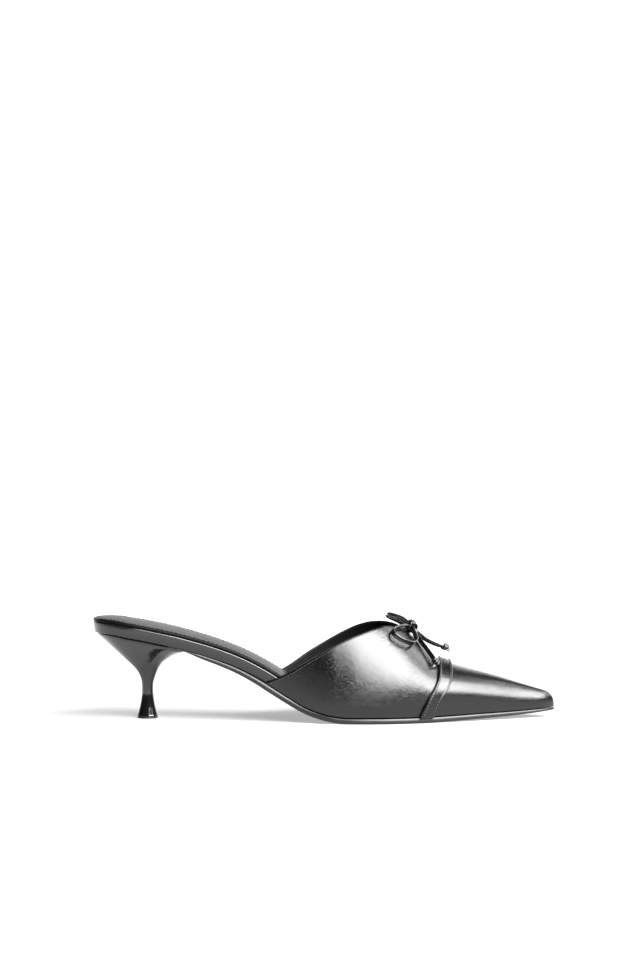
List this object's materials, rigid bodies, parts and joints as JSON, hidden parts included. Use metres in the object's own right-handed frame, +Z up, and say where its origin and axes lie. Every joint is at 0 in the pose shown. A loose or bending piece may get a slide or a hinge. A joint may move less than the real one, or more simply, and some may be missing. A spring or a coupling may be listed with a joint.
{
  "type": "pointed-toe kitten-heel mule",
  "caption": "Backless black leather mule with a long pointed toe, a low kitten heel, a stitched band across the vamp and a small knotted strap bow at the throat.",
  "frame": {"origin": "centre of the shoe's footprint on the floor, halfway along its length and its width", "axes": "+X runs from the heel to the toe, +Y to the inner side of the right shoe, +Z up; the floor is at Z = 0"},
  "size_m": [0.2675, 0.0812, 0.0595],
  "materials": {
    "glossy_leather": "glossy crinkled black calf",
    "board_leather": "glossy black wrapping",
    "sock_leather": "glossy black sock leather",
    "sole_finish": "satin black sole leather",
    "heel_finish": "glossy black wrapped heel",
    "lift_rubber": "matt black top lift",
    "bow_leather": "glossy black folded strap"
  },
  "bodies": {
    "root": {"outsole": "sole_finish", "insole_board": "board_leather", "footbed": "sock_leather", "upper": "glossy_leather", "vamp_band": "glossy_leather", "heel": "heel_finish", "heel_tip": "lift_rubber", "bow_knot": "bow_leather", "bow_loop_near": "bow_leather", "bow_loop_far": "bow_leather", "bow_end_near": "bow_leather", "bow_end_far": "bow_leather", "end_knot_near": "bow_leather", "end_knot_far": "bow_leather"}
  },
  "joints": []
}
